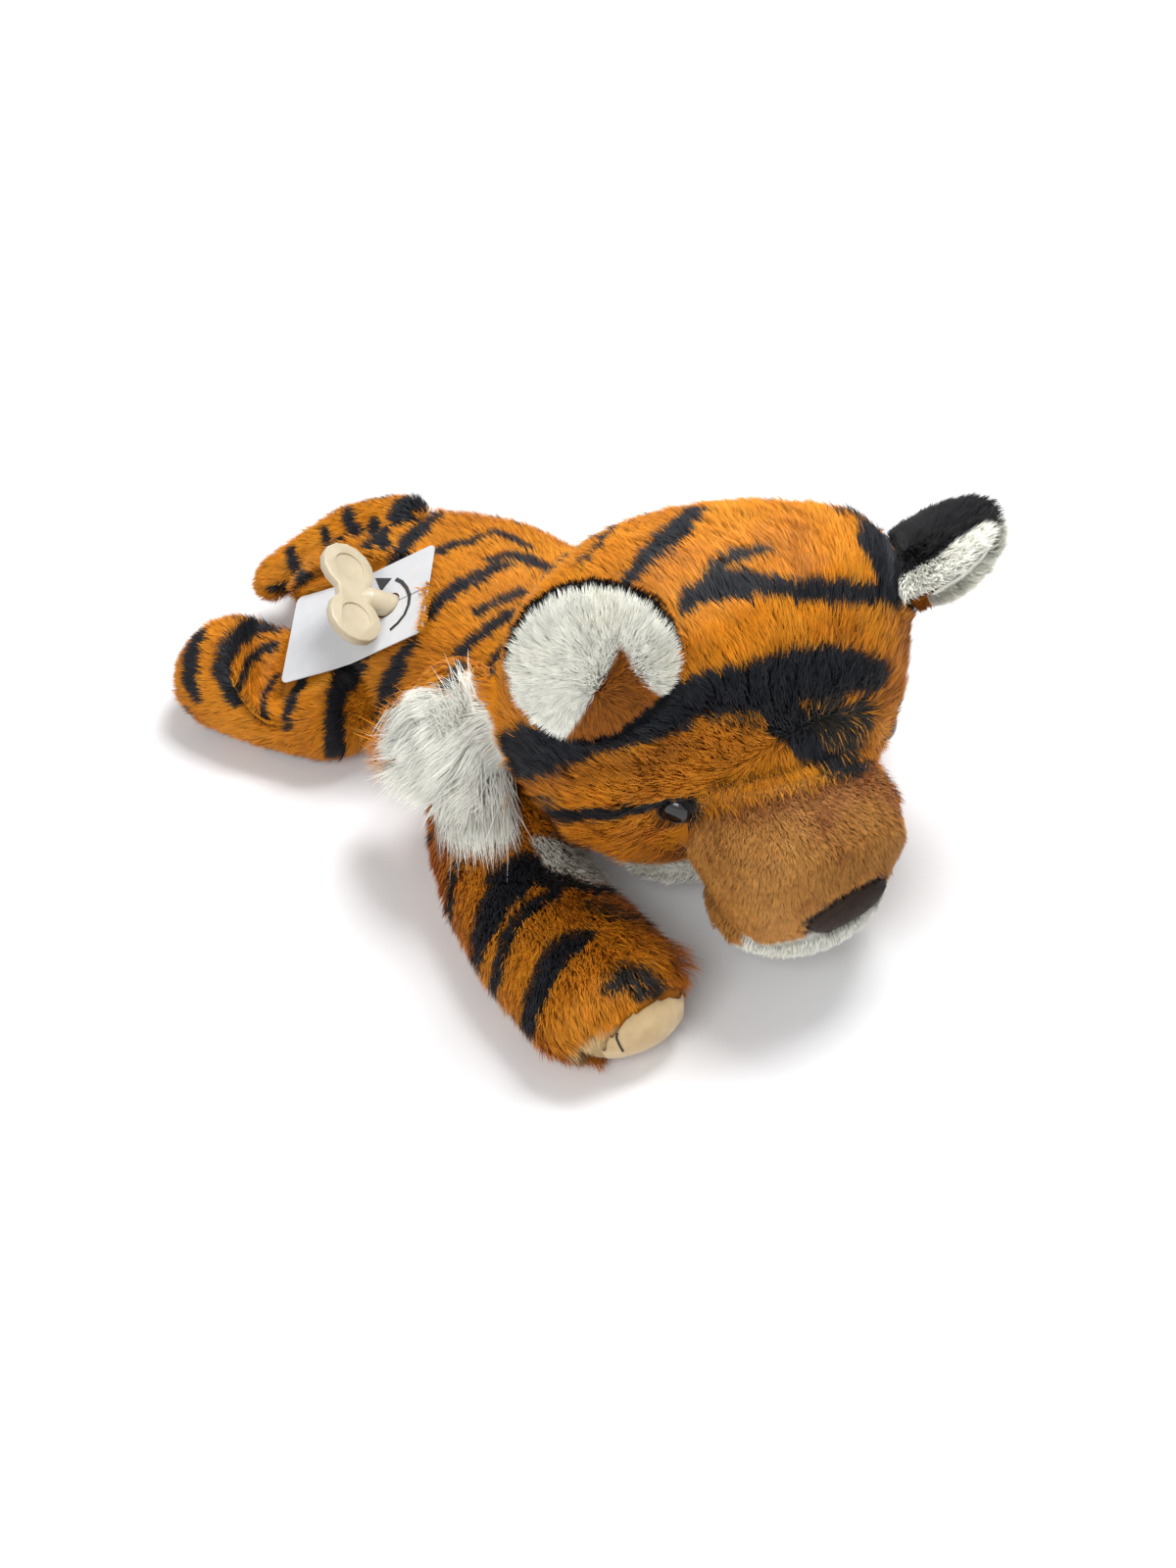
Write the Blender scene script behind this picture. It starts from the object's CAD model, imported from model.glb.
"""Dresses the plush tiger that lies on its belly, with its wind-up music movement.

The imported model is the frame. Each stuffed solid gets a softer skin with the pile growing on it, in
tufts that follow the lie of the fabric. The key, its card, the eyes, the pads and the movement get
their own finishes. Lengths are in metres, in the frame of the model.
"""
import logging
import math
from dataclasses import dataclass, field, replace
from enum import Enum
from typing import Callable, Optional, Sequence

import bpy
import numpy as np
from mathutils import Matrix, Vector
from mathutils.bvhtree import BVHTree


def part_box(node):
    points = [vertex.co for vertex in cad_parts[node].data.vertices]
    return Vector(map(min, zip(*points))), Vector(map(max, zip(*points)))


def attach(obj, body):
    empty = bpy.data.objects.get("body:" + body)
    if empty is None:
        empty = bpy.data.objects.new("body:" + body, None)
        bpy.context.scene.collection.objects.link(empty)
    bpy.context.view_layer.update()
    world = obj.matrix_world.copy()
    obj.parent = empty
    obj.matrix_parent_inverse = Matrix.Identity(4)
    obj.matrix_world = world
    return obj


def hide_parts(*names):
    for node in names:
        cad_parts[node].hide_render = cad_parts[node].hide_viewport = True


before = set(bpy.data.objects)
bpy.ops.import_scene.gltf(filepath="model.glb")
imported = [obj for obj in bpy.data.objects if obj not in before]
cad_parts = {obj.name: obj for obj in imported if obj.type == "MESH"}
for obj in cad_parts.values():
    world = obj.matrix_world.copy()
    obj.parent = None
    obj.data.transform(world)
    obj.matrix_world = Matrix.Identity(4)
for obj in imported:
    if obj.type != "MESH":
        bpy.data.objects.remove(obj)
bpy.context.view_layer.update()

LOG = logging.getLogger("tiger")
Array = np.ndarray
Colour = tuple[float, float, float]
Mirror = Callable[[Vector], Optional[Vector]]
Shares = Callable[[Array], Array]
Flow = Callable[[Array, Array], Array]

MOST_STRANDS = 64000
POINTS_AT_ONCE = 20000
MERGE_GAP = 0.00001
FLOOR_GAP = 0.0003
WHITE_LIGHT = (1, 1, 1, 1)


class Ink(Enum):
    """What a painted stroke of the coat turns the pile into."""

    DARK = "dark"
    RUST = "rust"
    WHITE = "white"
    BROWN = "brown"
    UMBER = "umber"
    NOSE = "nose"
    PAD = "pad"
    LONG = "long"


class Side(Enum):
    """The two sides of the toy."""

    RIGHT = "right"
    LEFT = "left"

    @property
    def sign(self) -> int:
        """Sign of Y on this side of the head's frame."""
        return -1 if self is Side.RIGHT else 1


def linear(red: float, green: float, blue: float) -> Array:
    """Turn a colour as seen, from 0 to 255, into the linear values that shaders take."""
    seen = np.array([red, green, blue], float) / 255
    return np.where(seen <= 0.04045, seen / 12.92, ((seen + 0.055) / 1.055) ** 2.4)


def ramp(values: Array, low: float, high: float) -> Array:
    """Rise smoothly from 0 at low to 1 at high."""
    part = np.clip((values - low) / (high - low), 0, 1)
    return part * part * (3 - 2 * part)


def unit(vectors: Array) -> Array:
    """Scale rows to length one."""
    return vectors / np.maximum(np.linalg.norm(vectors, axis=1, keepdims=True), 1e-9)


class Noise:
    """Smooth seeded values in space, from 0 to 1."""

    size = 32
    shift = 1000.0

    def __init__(self, seed: int, cell: float) -> None:
        """Fill the lattice.

        Args:
            seed: Seed of the lattice's values.
            cell: Size of one lattice cell.
        """
        self.table = np.random.default_rng(seed).random((self.size,) * 3)
        self.cell = cell

    def at(self, points: Array) -> Array:
        """Read the value at each point.

        Args:
            points: Places, one a row.

        Returns:
            One value a row.
        """
        place = points / self.cell + self.shift
        low = np.floor(place).astype(int)
        part = place - low
        part = part * part * (3 - 2 * part)
        total = np.zeros(len(points))
        for corner in range(8):
            step = np.array([corner & 1, corner >> 1 & 1, corner >> 2 & 1])
            index = (low + step) & (self.size - 1)
            weight = np.prod(np.where(step, part, 1 - part), axis=1)
            total += weight * self.table[index[:, 0], index[:, 1], index[:, 2]]
        return total


# Camera and studio


@dataclass(frozen=True)
class PhotoCamera:
    """Camera at the photograph's angle, which also aims strokes at the toy."""

    target: tuple[float, float, float] = (0.105, -0.025, 0.05)
    azimuth: float = math.radians(-40)
    elevation: float = math.radians(45)
    distance: float = 0.85
    focal_px: float = 2210
    width_px: float = 1200
    height_px: float = 1600
    sensor_mm: float = 36

    def axes(self) -> tuple[Vector, Vector, Vector]:
        """Return the ways to the right, up and back to the camera."""
        back = Vector((
            math.cos(self.elevation) * math.cos(self.azimuth),
            math.cos(self.elevation) * math.sin(self.azimuth),
            math.sin(self.elevation),
        ))
        right = Vector((0, 0, 1)).cross(back).normalized()
        return right, back.cross(right), back

    def eye(self) -> Vector:
        """Return the camera's place."""
        return Vector(self.target) + self.axes()[2] * self.distance

    def build(self) -> None:
        """Add the camera and make it the scene's."""
        data = bpy.data.cameras.new("photo_camera")
        data.sensor_fit = "VERTICAL"
        data.sensor_height = self.sensor_mm
        data.lens = self.sensor_mm * self.focal_px / self.height_px
        data.clip_start, data.clip_end = 0.01, 20
        item = add_item("photo_camera", data)
        turn = Matrix(self.axes()).transposed().to_4x4()
        item.matrix_world = Matrix.Translation(self.eye()) @ turn
        bpy.context.scene.camera = item

    def ray(self, x: float, y: float) -> tuple[Vector, Vector]:
        """Return the start and way of the line of sight through a point of the picture."""
        right, up, back = self.axes()
        way = right * (x - self.width_px / 2) - up * (y - self.height_px / 2)
        return self.eye(), (way - back * self.focal_px).normalized()

    def length(self, place: Vector, pixels: float) -> float:
        """Return the real length of some pixels at a place's depth."""
        back = self.axes()[2]
        return pixels * (self.distance - (place - Vector(self.target)).dot(back)) / self.focal_px


def direct_sight(tree: bpy.types.NodeTree) -> bpy.types.NodeSocket:
    """Return a socket that is 1 where the camera looks, also by way of gloss or glass.

    Args:
        tree: Nodes of a material or of the world.

    Returns:
        The socket.
    """
    path = tree.nodes.new("ShaderNodeLightPath")
    sight = path.outputs["Is Camera Ray"]
    for kind in ("Is Glossy Ray", "Is Transmission Ray"):
        either = tree.nodes.new("ShaderNodeMath")
        either.operation = "MAXIMUM"
        tree.links.new(sight, either.inputs[0])
        tree.links.new(path.outputs[kind], either.inputs[1])
        sight = either.outputs[0]
    return sight


class Studio:
    """Pale floor, soft lamps and white surroundings."""

    floor_size = 8
    floor_height = -0.0004
    floor_colour = (0.90, 0.90, 0.91, 1)
    glow_starts, glow_full, glow_least = 0.45, 1.2, 0.05
    surround_light = 0.34
    lamps = (
        ("key_lamp", (-0.04, 0.34, 1.12), 0.5, 13),
        ("front_lamp", (0.45, -0.80, 0.8), 0.6, 6),
    )

    def __init__(self, centre: Vector) -> None:
        """Keep the middle of the set."""
        self.centre = centre

    def floor(self) -> None:
        """Lay the pale floor, which keeps the toy's shadow and glows white further out."""
        bpy.ops.object.select_all(action="DESELECT")
        spot = (self.centre.x, self.centre.y, self.floor_height)
        bpy.ops.mesh.primitive_plane_add(size=self.floor_size, location=spot)
        item = bpy.context.object
        item.name = "studio_floor"
        make = Shader("studio_floor")
        make.set(Base_Color=self.floor_colour, Roughness=0.95, Specular_IOR_Level=0.1)
        far = make.add("ShaderNodeVectorMath")
        far.operation = "LENGTH"
        make.link(make.place(), far.inputs[0])
        rise = make.add("ShaderNodeMapRange", From_Min=self.glow_starts, From_Max=self.glow_full,
                        To_Min=self.glow_least, To_Max=1.0)
        make.link(far.outputs["Value"], rise.inputs["Value"])
        level = make.add("ShaderNodeMath")
        level.operation = "MULTIPLY"
        make.link(direct_sight(make.tree), level.inputs[0])
        make.link(rise.outputs["Result"], level.inputs[1])
        glow = make.add("ShaderNodeEmission", Color=WHITE_LIGHT)
        make.link(level.outputs[0], glow.inputs["Strength"])
        both = make.add("ShaderNodeAddShader")
        make.link(make.shader.outputs[0], both.inputs[0])
        make.link(glow.outputs[0], both.inputs[1])
        make.link(both.outputs[0], make.output.inputs["Surface"])
        item.data.materials.append(make.material)

    def lamp(self, name: str, place: tuple[float, float, float], size: float, power: float) -> None:
        """Add a soft square lamp that looks at the middle of the set.

        Args:
            name: Name of the lamp.
            place: Place, from the middle of the set.
            size: Side of the lamp.
            power: Power in watts.
        """
        data = bpy.data.lights.new(name, "AREA")
        data.size = size
        data.energy = power
        item = add_item(name, data)
        item.location = self.centre + Vector(place)
        item.rotation_euler = (-Vector(place)).to_track_quat("-Z", "Y").to_euler()

    def world(self) -> None:
        """White surroundings for the camera and for gloss, and a softer level for light."""
        world = bpy.data.worlds.new("studio_world")
        world.use_nodes = True
        bpy.context.scene.world = world
        tree = world.node_tree
        back = tree.nodes["Background"]
        back.inputs["Color"].default_value = WHITE_LIGHT
        level = tree.nodes.new("ShaderNodeMapRange")
        level.inputs["To Min"].default_value = self.surround_light
        level.inputs["To Max"].default_value = 1.0
        tree.links.new(direct_sight(tree), level.inputs["Value"])
        tree.links.new(level.outputs["Result"], back.inputs["Strength"])

    def build(self) -> None:
        """Set up the whole studio."""
        self.floor()
        for lamp in self.lamps:
            self.lamp(*lamp)
        self.world()
        bpy.context.scene.view_settings.view_transform = "Standard"


# Finishes


class Shader:
    """A new material with its Principled shader and short calls to add to it."""

    def __init__(self, name: str) -> None:
        """Start a material."""
        self.material = bpy.data.materials.new(name)
        self.material.use_nodes = True
        self.tree = self.material.node_tree
        self.shader = self.tree.nodes["Principled BSDF"]
        self.output = self.tree.nodes["Material Output"]

    def add(self, kind: str, **values: object) -> bpy.types.Node:
        """Add a node and set its inputs by name, with underscores for spaces.

        Args:
            kind: Type of the node.
            **values: Inputs of the node.

        Returns:
            The new node.
        """
        node = self.tree.nodes.new(kind)
        for name, value in values.items():
            node.inputs[name.replace("_", " ")].default_value = value
        return node

    def link(self, source: bpy.types.NodeSocket, target: bpy.types.NodeSocket) -> None:
        """Join two sockets."""
        self.tree.links.new(source, target)

    def set(self, **values: object) -> "Shader":
        """Set sockets of the shader by name, with underscores for spaces."""
        for name, value in values.items():
            self.shader.inputs[name.replace("_", " ")].default_value = value
        return self

    def place(self) -> bpy.types.NodeSocket:
        """Return the object coordinates."""
        return self.add("ShaderNodeTexCoord").outputs["Object"]

    def grain(self, scale: float, detail: float = 3.0) -> bpy.types.Node:
        """Return a noise texture on object coordinates."""
        noise = self.add("ShaderNodeTexNoise", Scale=scale, Detail=detail)
        self.link(self.place(), noise.inputs["Vector"])
        return noise

    def blend(self, factor: bpy.types.NodeSocket, first: Array, second: Array) -> bpy.types.Node:
        """Mix two colours by a factor, over its middle range.

        Args:
            factor: Socket that gives the factor.
            first: Colour where the factor is low.
            second: Colour where the factor is high.

        Returns:
            The colour ramp.
        """
        node = self.add("ShaderNodeValToRGB")
        self.link(factor, node.inputs["Fac"])
        node.color_ramp.elements[0].position = 0.3
        node.color_ramp.elements[1].position = 0.7
        node.color_ramp.elements[0].color = (*first, 1)
        node.color_ramp.elements[1].color = (*second, 1)
        return node

    def bump(self, height: bpy.types.NodeSocket, strength: float, distance: float) -> None:
        """Add a bump to the shader's normal."""
        node = self.add("ShaderNodeBump", Strength=strength, Distance=distance)
        self.link(height, node.inputs["Height"])
        self.link(node.outputs["Normal"], self.shader.inputs["Normal"])


@dataclass(frozen=True)
class PileFinish:
    """Plush fibre, whose colour is carried by each strand."""

    name: str
    roughness: float = 0.55
    sheen: float = 0.06
    gloss: float = 0.22
    grain_scale = 900
    darkest, palest = 0.9, 1.1

    def build(self) -> bpy.types.Material:
        """Return the material, which reads the strands' own colour."""
        make = Shader(self.name)
        colour = make.add("ShaderNodeAttribute")
        colour.attribute_name = "pile_colour"
        noise = make.grain(self.grain_scale, 2.0)
        vary = make.add("ShaderNodeMapRange", To_Min=self.darkest, To_Max=self.palest)
        make.link(noise.outputs["Fac"], vary.inputs["Value"])
        scale = make.add("ShaderNodeVectorMath")
        scale.operation = "SCALE"
        make.link(colour.outputs["Color"], scale.inputs[0])
        make.link(vary.outputs["Result"], scale.inputs["Scale"])
        make.link(scale.outputs["Vector"], make.shader.inputs["Base Color"])
        make.set(Roughness=self.roughness, Sheen_Weight=self.sheen, Sheen_Roughness=0.4)
        make.set(Specular_IOR_Level=self.gloss)
        return make.material


@dataclass(frozen=True)
class SuedeFinish:
    """Napped suede of the pads."""

    name: str
    colour: Colour
    dark: Colour
    patch_scale = 140
    nap_scale = 3200
    nap_height = 0.0002

    def build(self) -> bpy.types.Material:
        """Return the material, with a fine nap and soft patches."""
        make = Shader(self.name)
        patches = make.grain(self.patch_scale, 5.0)
        mixed = make.blend(patches.outputs["Fac"], linear(*self.dark), linear(*self.colour))
        make.link(mixed.outputs["Color"], make.shader.inputs["Base Color"])
        nap = make.grain(self.nap_scale, 4.0)
        make.bump(nap.outputs["Fac"], 0.5, self.nap_height)
        return make.set(Roughness=0.92, Sheen_Weight=0.35, Specular_IOR_Level=0.2).material


@dataclass(frozen=True)
class PlasticFinish:
    """Moulded plastic with a faint texture and worn, paler high spots."""

    name: str
    colour: Colour
    worn: Colour
    roughness: float = 0.35
    coat: float = 0.0
    patch_scale = 120
    fine_scale = 1500
    fine_height = 0.0001

    def build(self) -> bpy.types.Material:
        """Return the material."""
        make = Shader(self.name)
        patches = make.grain(self.patch_scale, 4.0)
        mixed = make.blend(patches.outputs["Fac"], linear(*self.colour), linear(*self.worn))
        make.link(mixed.outputs["Color"], make.shader.inputs["Base Color"])
        fine = make.grain(self.fine_scale, 2.0)
        rough = make.add("ShaderNodeMapRange", To_Min=self.roughness * 0.8, To_Max=self.roughness * 1.25)
        make.link(fine.outputs["Fac"], rough.inputs["Value"])
        make.link(rough.outputs["Result"], make.shader.inputs["Roughness"])
        make.bump(fine.outputs["Fac"], 0.08, self.fine_height)
        return make.set(Coat_Weight=self.coat, Coat_Roughness=0.08).material


@dataclass(frozen=True)
class MetalFinish:
    """Brushed or stamped metal of the movement."""

    name: str
    colour: Colour
    roughness: float = 0.32
    brush_scale = 700.0
    brush_stretch = (1.0, 0.08, 1.0)
    brush_depth = 0.00005

    def build(self) -> bpy.types.Material:
        """Return the material, with stretched brush marks."""
        make = Shader(self.name)
        noise = make.add("ShaderNodeTexNoise", Scale=self.brush_scale, Detail=4.0)
        stretch = make.add("ShaderNodeMapping", Scale=self.brush_stretch)
        make.link(make.place(), stretch.inputs["Vector"])
        make.link(stretch.outputs["Vector"], noise.inputs["Vector"])
        base = linear(*self.colour)
        mixed = make.blend(noise.outputs["Fac"], base * 0.82, base)
        make.link(mixed.outputs["Color"], make.shader.inputs["Base Color"])
        make.bump(noise.outputs["Fac"], 0.1, self.brush_depth)
        return make.set(Metallic=1.0, Roughness=self.roughness).material


# Reading the frame and making meshes


def mesh_parts(mesh: bpy.types.Mesh) -> tuple[list[Vector], list[list[int]]]:
    """Return the places and faces of a mesh."""
    return [v.co.copy() for v in mesh.vertices], [list(p.vertices) for p in mesh.polygons]


def tree_of(names: Sequence[str]) -> BVHTree:
    """Return one search tree over several CAD nodes."""
    places: list[Vector] = []
    faces: list[list[int]] = []
    for name in names:
        more, polygons = mesh_parts(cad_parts[name].data)
        faces += [[len(places) + k for k in polygon] for polygon in polygons]
        places += more
    return BVHTree.FromPolygons(places, faces)


def vertices_of(mesh: bpy.types.Mesh) -> tuple[Array, Array]:
    """Return the places and normals of a mesh's vertices, one a row."""
    places, normals = np.zeros(len(mesh.vertices) * 3), np.zeros(len(mesh.vertices) * 3)
    mesh.vertices.foreach_get("co", places)
    mesh.vertices.foreach_get("normal", normals)
    return places.reshape(-1, 3), normals.reshape(-1, 3)


def add_item(name: str, data: bpy.types.ID) -> bpy.types.Object:
    """Put a mesh, lamp or camera in the scene."""
    item = bpy.data.objects.new(name, data)
    bpy.context.scene.collection.objects.link(item)
    return item


def copy_of(node: str, name: str) -> bpy.types.Object:
    """Return a merged copy of a CAD node, selected and active."""
    item = add_item(name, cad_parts[node].data.copy())
    item.data.materials.clear()
    bpy.ops.object.select_all(action="DESELECT")
    item.select_set(True)
    bpy.context.view_layer.objects.active = item
    bpy.ops.object.mode_set(mode="EDIT")
    bpy.ops.mesh.select_all(action="SELECT")
    bpy.ops.mesh.remove_doubles(threshold=MERGE_GAP)
    bpy.ops.object.mode_set(mode="OBJECT")
    return item


def flat_piece(name: str, places: Sequence[Vector], faces: Sequence[tuple[int, ...]],
               finish: bpy.types.Material) -> bpy.types.Object:
    """Make a printed or stitched piece from its places and faces."""
    mesh = bpy.data.meshes.new(name)
    mesh.from_pydata(places, [], faces)
    mesh.materials.append(finish)
    return add_item(name, mesh)


@dataclass(frozen=True)
class HeadFrame:
    """Frame of the head: forward, to its left and up."""

    origin: tuple[float, float, float] = (0.138, 0.023, 0.101)
    turn: float = math.radians(-11)
    nod: float = math.radians(15)

    def matrix(self) -> Matrix:
        """Return the frame as a matrix."""
        turn = Matrix.Rotation(self.turn, 4, "Z")
        return Matrix.Translation(self.origin) @ turn @ Matrix.Rotation(self.nod, 4, "Y")

    def to_local(self, points: Array) -> Array:
        """Return places in the head's own frame."""
        turn = np.array(self.matrix().inverted())
        return points @ turn[:3, :3].T + turn[:3, 3]

    def to_world(self, ways: Array) -> Array:
        """Return ways of the head's frame in the frame of the toy."""
        return ways @ np.array(self.matrix())[:3, :3].T


HEAD = HeadFrame()


# Markings of the coat


@dataclass(frozen=True)
class Stroke:
    """A painted mark, as places in the picture with its width there, in pixels."""

    path: tuple[tuple[float, float, float], ...]
    ink: Ink = Ink.DARK
    strength: float = 1.0
    soft: float = 1.0
    mirrored: bool = True


class Markings:
    """Marks of one body's coat, laid on its solids as runs of places and half widths."""

    step_px = 3
    half_share = 0.68
    ring_steps = 90
    ring_start = 0.14
    ring_wander = 0.004
    ring_break = 0.8
    seen_gap = 0.004
    seen_slope = -0.05
    ragged = 0.0016
    edge = (-0.0013, 0.0015)

    def __init__(self, camera: PhotoCamera, nodes: Sequence[str]) -> None:
        """Start a coat.

        Args:
            camera: Camera through which the strokes are laid.
            nodes: CAD nodes that they fall on.
        """
        self.camera = camera
        self.tree = tree_of(nodes)
        self.rows: list[tuple[float, ...]] = []
        self.fray = Noise(41, 0.0032)

    def lay(self, strokes: Sequence[Stroke], mirror: Optional[Mirror]) -> None:
        """Lay strokes on the surface, and their mirrored copies.

        Args:
            strokes: Strokes to lay.
            mirror: Gives the mirrored place, or nothing where there is none.
        """
        for stroke in strokes:
            for a, b in zip(stroke.path, stroke.path[1:]):
                steps = max(2, int(math.dist(a[:2], b[:2]) / self.step_px))
                for step in range(steps):
                    x, y, width = (p + (q - p) * step / steps for p, q in zip(a, b))
                    start, way = self.camera.ray(x, y)
                    hit = self.tree.ray_cast(start, way)[0]
                    if hit is None:
                        continue
                    half = self.camera.length(hit, width) * self.half_share
                    self.add(hit, half, stroke)
                    other = mirror(hit) if mirror and stroke.mirrored else None
                    if other is not None:
                        spot, normal = self.tree.find_nearest(other)[:2]
                        if not self.seen(start, spot, normal):
                            self.add(spot, half, stroke)

    def rings(self, matrix: Matrix, reaches: Sequence[float], half: float) -> None:
        """Lay broken bands round a form on the sides that the picture doesn't show.

        Args:
            matrix: Frame of the form, whose first axis runs along it.
            reaches: Places of the bands along that axis.
            half: Half the width of a band.
        """
        eye = self.camera.eye()
        for number, reach in enumerate(reaches):
            for step in range(self.ring_steps):
                angle = 2 * math.pi * step / self.ring_steps
                wave = math.sin(2 * angle + 1.7 * number)
                if wave > self.ring_break:
                    continue
                shift = reach + self.ring_wander * math.sin(3 * angle + number)
                across, up = self.ring_start * math.cos(angle), self.ring_start * math.sin(angle)
                start = matrix @ Vector((shift, across, up))
                inward = (matrix @ Vector((shift, 0, 0)) - start).normalized()
                spot, normal = self.tree.ray_cast(start, inward)[:2]
                if spot is not None and not self.seen(eye, spot, normal):
                    self.add(spot, half * (0.8 - 0.4 * wave), Stroke(()))

    def seen(self, start: Vector, spot: Vector, normal: Vector) -> bool:
        """Tell whether the picture shows a spot of the coat."""
        way = (spot - start).normalized()
        hit = self.tree.ray_cast(start, way)[0]
        return hit is not None and (hit - spot).length < self.seen_gap and normal.dot(way) < self.seen_slope

    def add(self, place: Vector, half: float, stroke: Stroke) -> None:
        """Keep one dab of a stroke."""
        ink = list(Ink).index(stroke.ink)
        self.rows.append((*place, half, stroke.strength, stroke.soft, ink))

    def cover(self, points: Array, ink: Ink) -> Array:
        """Return how strongly an ink covers each point, from 0 to 1."""
        rows = np.array([row for row in self.rows if row[-1] == list(Ink).index(ink)])
        if not len(rows):
            return np.zeros(len(points))
        dabs, half, strength, soft = rows[:, :3], rows[:, 3], rows[:, 4], rows[:, 5]
        ragged = (self.fray.at(points) - 0.5) * self.ragged
        total = np.zeros(len(points))
        for start in range(0, len(points), POINTS_AT_ONCE):
            run = slice(start, start + POINTS_AT_ONCE)
            part = points[run]
            square = (part**2).sum(1)[:, None] + (dabs**2).sum(1)[None] - 2 * part @ dabs.T
            near = (np.sqrt(np.maximum(square, 0)) - half[None]) / soft[None]
            index = near.argmin(1)
            low = near[np.arange(len(part)), index] + ragged[run]
            total[run] = (1 - ramp(low, *self.edge)) * strength[index]
        return total


@dataclass(frozen=True)
class Dyes:
    """Colours of the pile, as seen."""

    orange: Colour = (226, 141, 24)
    amber: Colour = (232, 157, 42)
    rust: Colour = (184, 106, 20)
    dark: Colour = (30, 32, 38)
    olive: Colour = (66, 58, 38)
    white: Colour = (251, 251, 241)
    cream: Colour = (240, 238, 218)
    brown: Colour = (202, 140, 68)
    tan: Colour = (218, 160, 84)
    umber: Colour = (158, 92, 48)
    pad: Colour = (222, 190, 138)
    black: Colour = (20, 20, 23)
    nose: Colour = (70, 56, 48)


DYES = Dyes()


class Coat:
    """Colours of a piece's pile by place."""

    mix = (0.55, 0.25, 0.35, -0.1)
    pale_range, deep_range = (0.45, 0.95), (0.05, 0.45)
    olive_edge = 0.6

    def __init__(self, base: Sequence[Colour], markings: Optional[Markings] = None) -> None:
        """Keep the dyes and the marks.

        Args:
            base: Main dye, its paler sort and its deeper sort.
            markings: Marks on the coat, where it has any.
        """
        self.base = [linear(*dye) for dye in base]
        self.markings = markings
        self.patches = Noise(17, 0.016)
        self.fine = Noise(23, 0.004)

    def colour(self, points: Array, random: Array) -> Array:
        """Return the colour at each point.

        Args:
            points: Places that show on the coat.
            random: A random value a strand, from 0 to 1.

        Returns:
            Linear colours, one a row.
        """
        main, pale, deep = self.base
        patch, fine, strand, shift = self.mix
        lift = patch * self.patches.at(points) + fine * self.fine.at(points) + strand * random + shift
        lift = np.clip(lift, 0, 1)
        up = ramp(lift, *self.pale_range)[:, None]
        down = (1 - ramp(lift, *self.deep_range))[:, None]
        colours = main * (1 - up) + pale * up
        colours = colours * (1 - down) + deep * down
        if self.markings is None:
            return colours
        rust = self.markings.cover(points, Ink.RUST)[:, None]
        colours = colours * (1 - rust) + linear(*DYES.rust) * (0.7 + 0.5 * random[:, None]) * rust
        plain = np.zeros((len(points), 1))
        for ink in (Ink.WHITE, Ink.BROWN, Ink.UMBER, Ink.NOSE, Ink.PAD):
            cover = self.markings.cover(points, ink)[:, None]
            colours = colours * (1 - cover) + linear(*getattr(DYES, ink.value)) * cover
            plain = np.maximum(plain, cover)
        cover = self.markings.cover(points, Ink.DARK) * (1 - plain[:, 0])
        dark = (cover > 0.25 + 0.5 * random).astype(float)[:, None] * np.minimum(cover * 1.6, 1)[:, None]
        ink = linear(*DYES.dark) * (0.6 + 0.8 * random[:, None])
        edge = np.clip(1 - np.abs(cover - 0.5) * 2, 0, 1)[:, None]
        ink = ink * (1 - edge * self.olive_edge) + linear(*DYES.olive) * edge * self.olive_edge
        return colours * (1 - dark) + ink * dark


# Skins and pile


@dataclass(frozen=True)
class Pile:
    """One sort of pile: how long, how thick, how it leans and how it gathers in tufts."""

    length: float
    count: int
    sink: float
    width: float = 0.00036
    lean_root: float = math.radians(36)
    lean_tip: float = math.radians(76)
    tuft: float = 0.0040
    gather: float = 0.2
    stray: float = math.radians(16)
    swirl: float = math.radians(30)
    uneven: float = 0.25
    root_shade: float = 0.6
    bury: float = 0.0006


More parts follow.
